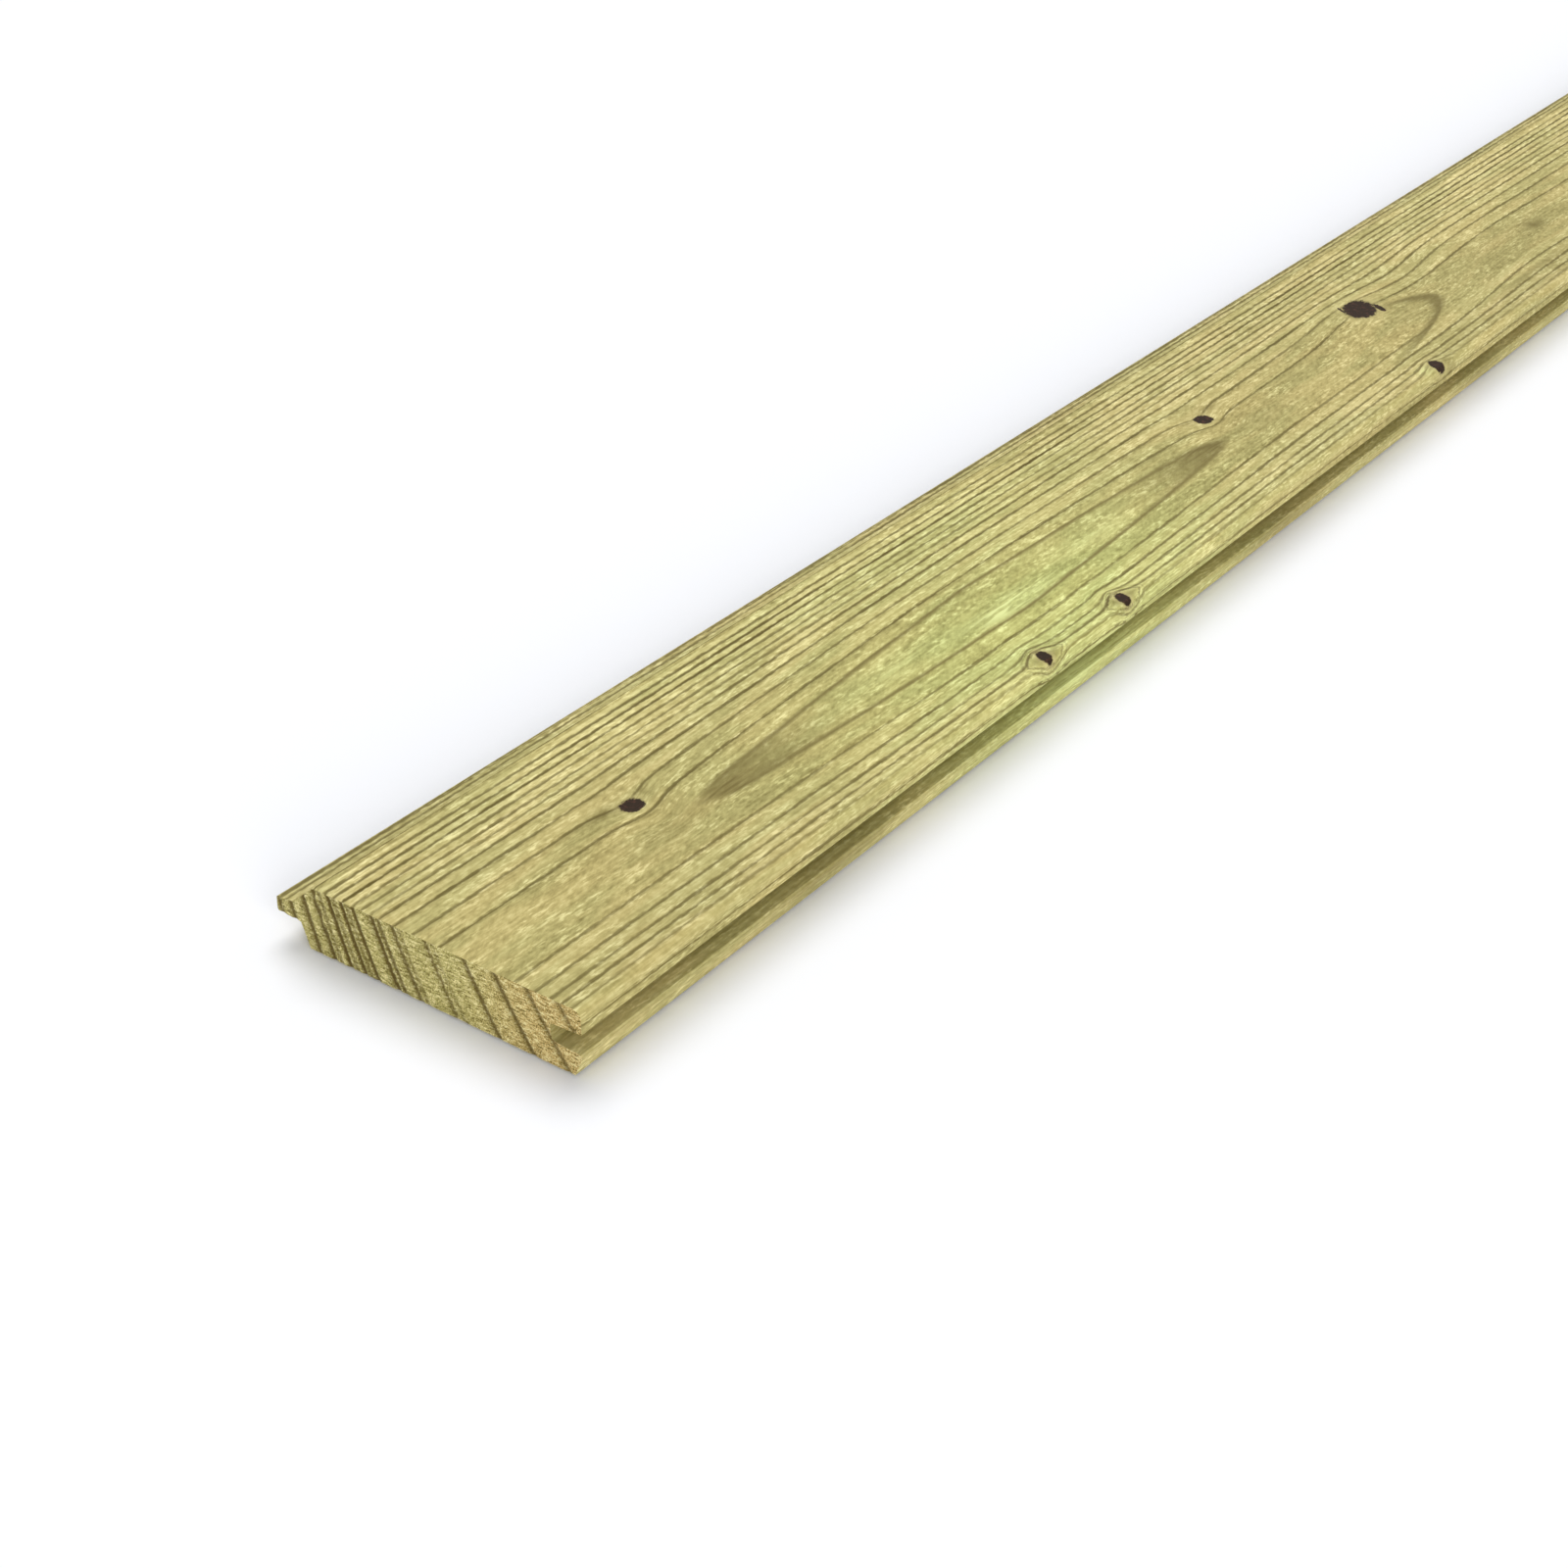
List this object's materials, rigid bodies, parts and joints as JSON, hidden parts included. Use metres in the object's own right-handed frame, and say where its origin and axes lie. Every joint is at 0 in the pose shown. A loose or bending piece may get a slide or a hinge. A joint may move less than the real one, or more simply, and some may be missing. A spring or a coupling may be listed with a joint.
{
  "type": "tongue and groove fence board",
  "caption": "Planed softwood fence board with a tongue on one edge, a matching groove on the other and a bevelled face joint.",
  "frame": {"origin": "centre of the board's back at floor level, halfway along its length and across its full width", "axes": "+X along the board, +Y towards the tongue, +Z out of the face"},
  "size_m": [1.8, 0.145, 0.028],
  "materials": {
    "treated_pine": "planed pressure-treated pine, olive yellow, matt"
  },
  "bodies": {
    "root": {"board": "treated_pine"}
  },
  "joints": []
}
